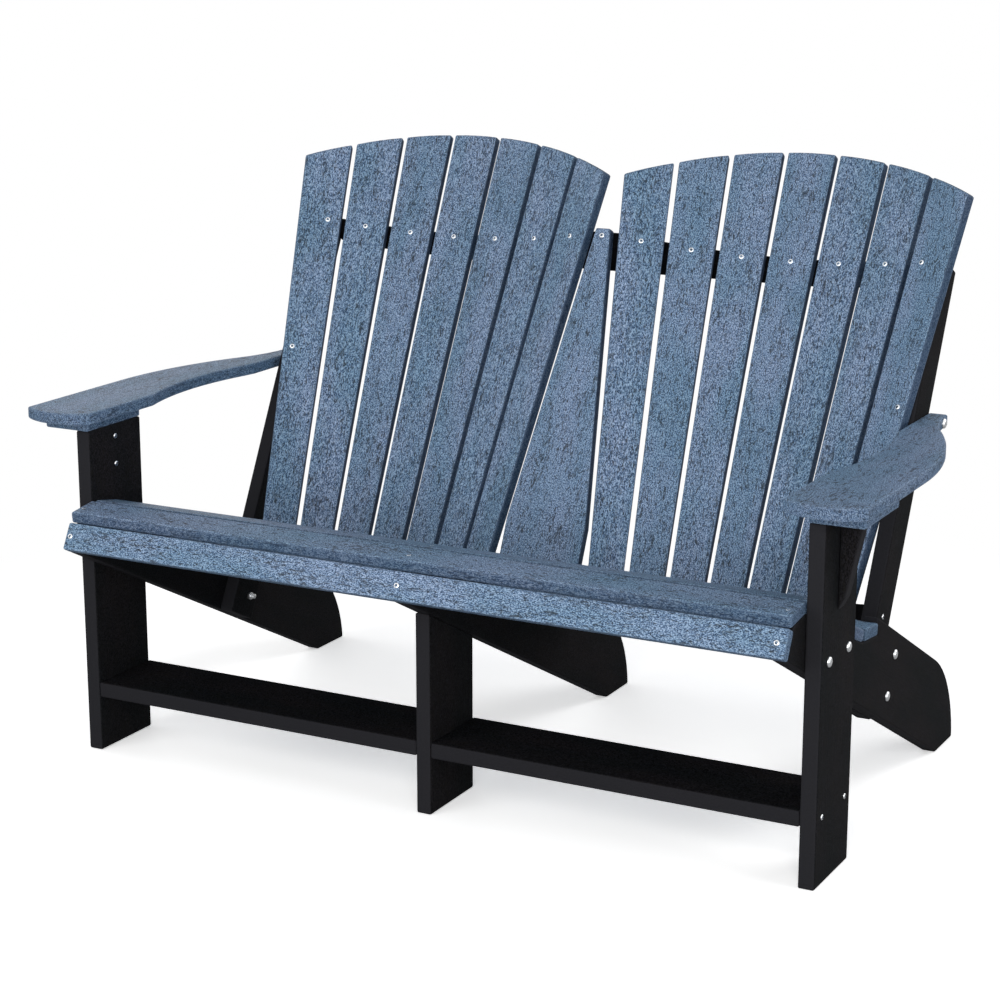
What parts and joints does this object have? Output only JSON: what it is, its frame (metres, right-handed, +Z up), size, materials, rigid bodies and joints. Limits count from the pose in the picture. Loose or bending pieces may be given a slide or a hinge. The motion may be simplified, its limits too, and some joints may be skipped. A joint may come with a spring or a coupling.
{
  "type": "adirondack loveseat",
  "caption": "Two-seat outdoor chair of thick plastic boards: fan-shaped slat backs side by side, a dipped slat seat, flat arms and a low foot rail.",
  "frame": {"origin": "on the floor, at the middle of the bounding box seen from above", "axes": "+X to the right as seen from in front of the loveseat, +Y from its front to its back, +Z up"},
  "size_m": [1.426, 0.8608, 0.966],
  "materials": {
    "blue_lumber": "finely mottled weathered blue plastic lumber with a light grain",
    "black_lumber": "matte black plastic lumber",
    "stainless_steel": "plain stainless steel"
  },
  "bodies": {
    "root": {"arm_bolt_left": "stainless_steel", "arm_bolt_right": "stainless_steel", "arm_bracket_left": "black_lumber", "arm_bracket_right": "black_lumber", "arm_cleat_left": "blue_lumber", "arm_cleat_right": "blue_lumber", "arm_left": "blue_lumber", "arm_right": "blue_lumber", "back_post_left": "black_lumber", "back_post_right": "black_lumber", "back_slat_filler": "blue_lumber", "back_slat_left_1": "blue_lumber", "back_slat_left_2": "blue_lumber", "back_slat_left_3": "blue_lumber", "back_slat_left_4": "blue_lumber", "back_slat_left_5": "blue_lumber", "back_slat_left_6": "blue_lumber", "back_slat_left_7": "blue_lumber", "back_slat_right_1": "blue_lumber", "back_slat_right_2": "blue_lumber", "back_slat_right_3": "blue_lumber", "back_slat_right_4": "blue_lumber", "back_slat_right_5": "blue_lumber", "back_slat_right_6": "blue_lumber", "back_slat_right_7": "blue_lumber", "centre_leg": "black_lumber", "foot_rail_left": "black_lumber", "foot_rail_right": "black_lumber", "front_apron": "blue_lumber", "front_leg_left": "black_lumber", "front_leg_right": "black_lumber", "leg_bolt_left_1": "stainless_steel", "leg_bolt_left_2": "stainless_steel", "leg_bolt_right_1": "stainless_steel", "leg_bolt_right_2": "stainless_steel", "leg_nut_left_1": "stainless_steel", "leg_nut_left_2": "stainless_steel", "leg_nut_right_1": "stainless_steel", "leg_nut_right_2": "stainless_steel", "lower_back_rail": "black_lumber", "post_bolt_left_1": "stainless_steel", "post_bolt_left_2": "stainless_steel", "post_bolt_right_1": "stainless_steel", "post_bolt_right_2": "stainless_steel", "post_nut_left_1": "stainless_steel", "post_nut_left_2": "stainless_steel", "post_nut_right_1": "stainless_steel", "post_nut_right_2": "stainless_steel", "post_screw_left": "stainless_steel", "post_screw_right": "stainless_steel", "seat_slat_1": "blue_lumber", "seat_slat_2": "blue_lumber", "seat_slat_3": "blue_lumber", "seat_slat_4": "blue_lumber", "seat_slat_5": "blue_lumber", "seat_slat_6": "blue_lumber", "stringer_centre": "black_lumber", "stringer_left": "black_lumber", "stringer_right": "black_lumber", "upper_back_rail": "black_lumber"}
  },
  "joints": []
}
